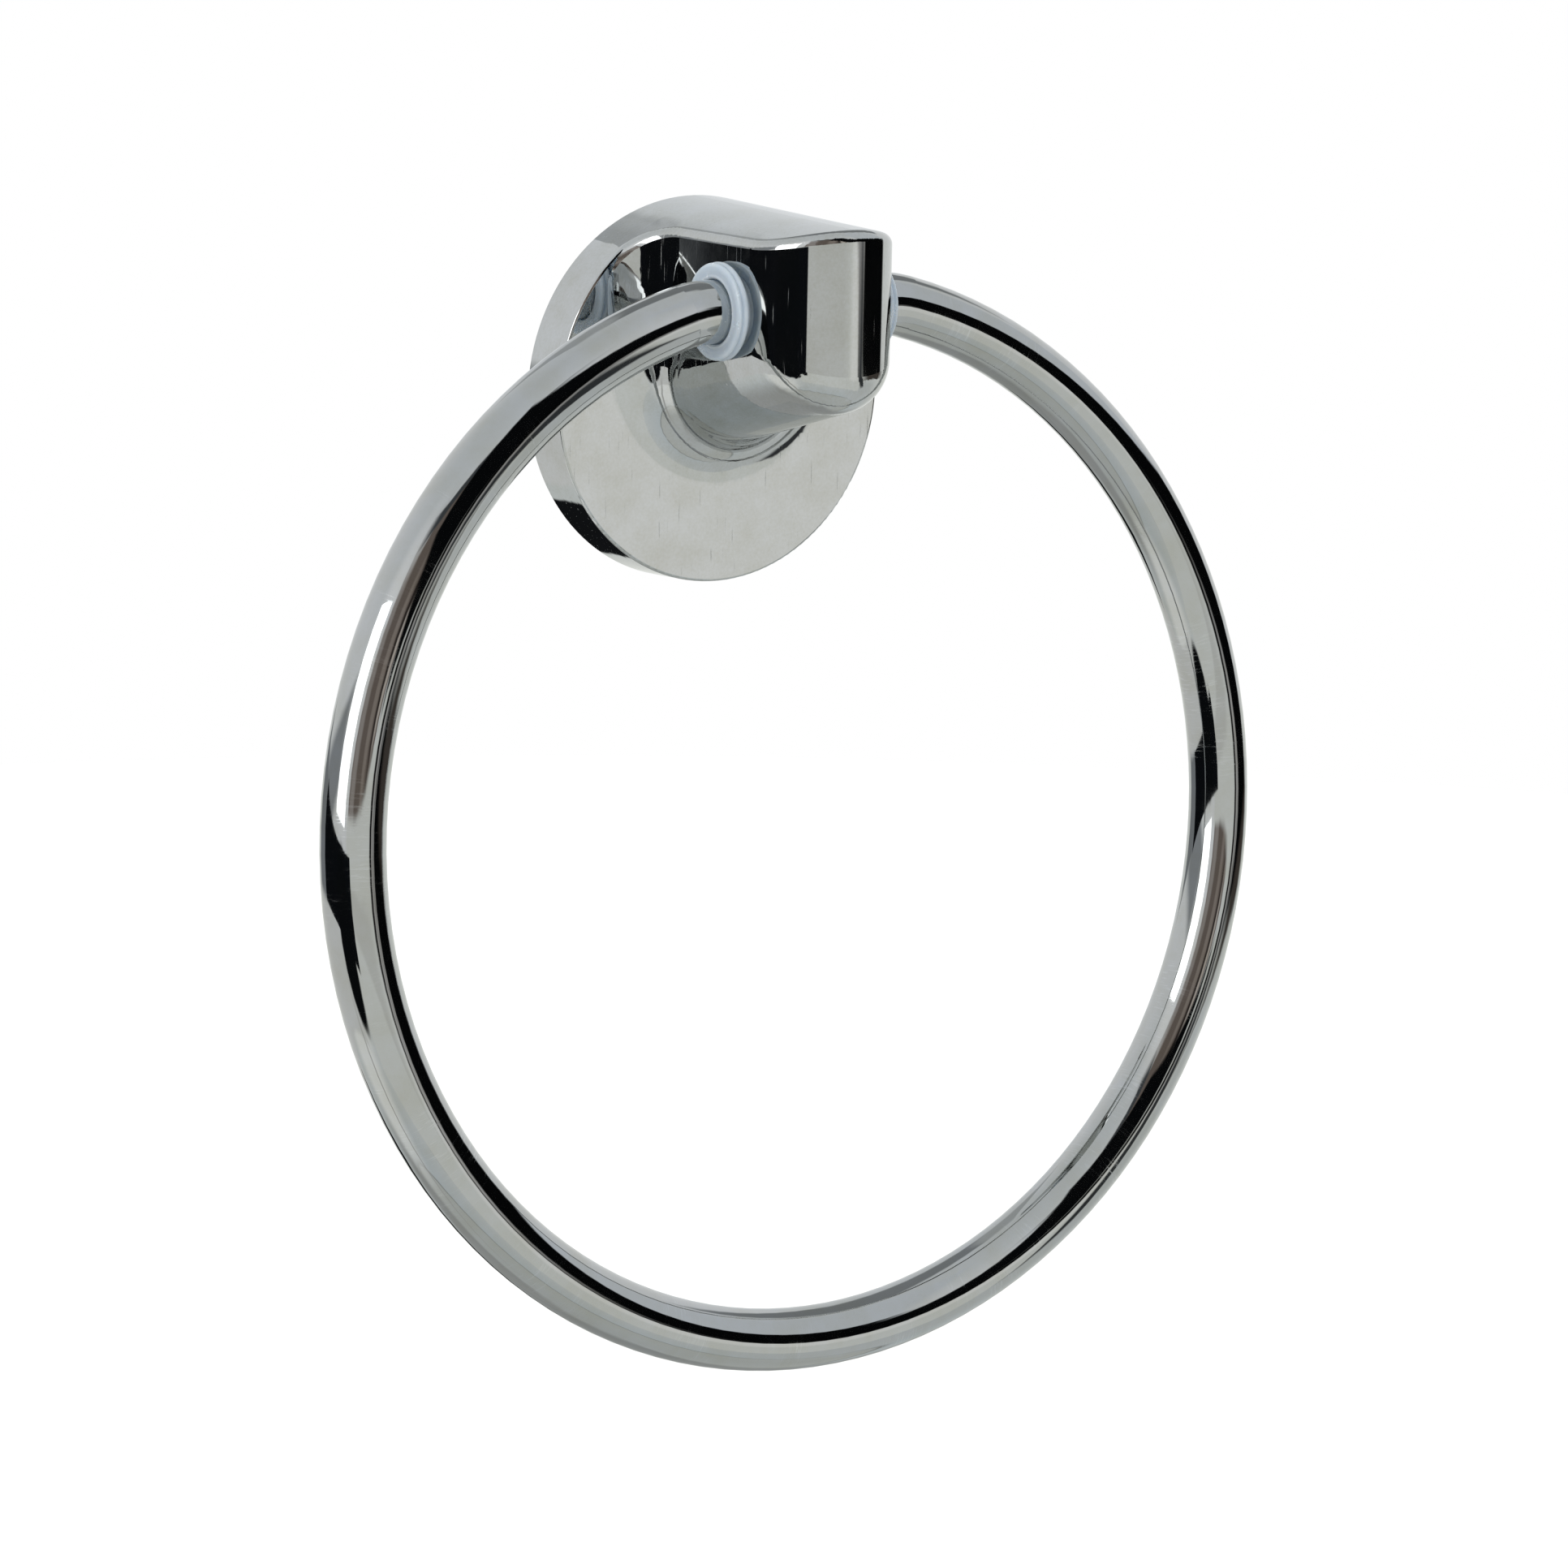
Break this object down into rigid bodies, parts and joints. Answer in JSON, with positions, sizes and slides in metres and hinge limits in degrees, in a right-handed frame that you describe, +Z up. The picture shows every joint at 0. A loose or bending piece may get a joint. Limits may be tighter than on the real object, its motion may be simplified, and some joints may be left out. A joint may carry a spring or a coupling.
{
  "type": "towel ring",
  "caption": "Wall-mounted towel ring: a large round tube ring that swings in plastic bushes through a hooded post cast with its round wall plate.",
  "frame": {"origin": "centre of the round wall plate's back, on the wall plane", "axes": "+Z up, +Y into the wall, -Y towards the room, +X to the right of someone facing the wall"},
  "size_m": [0.16, 0.0471, 0.1667],
  "materials": {
    "chromed_casting": "polished",
    "chromed_tube": "polished",
    "clear_nylon": "translucent gloss",
    "plated_steel": "satin"
  },
  "bodies": {
    "holder": {"holder": "chromed_casting", "bush_left": "clear_nylon", "bush_right": "clear_nylon", "wall_bracket": "plated_steel", "grub_screw": "plated_steel"},
    "ring": {"towel_ring": "chromed_tube"}
  },
  "joints": [
    {"name": "ring_swing", "type": "hinge", "parent": "holder", "child": "ring", "pos_m": [0, -0.026, 0.0142], "axis": [1, 0, 0], "range_deg": [-181.5, 14.5]}
  ]
}
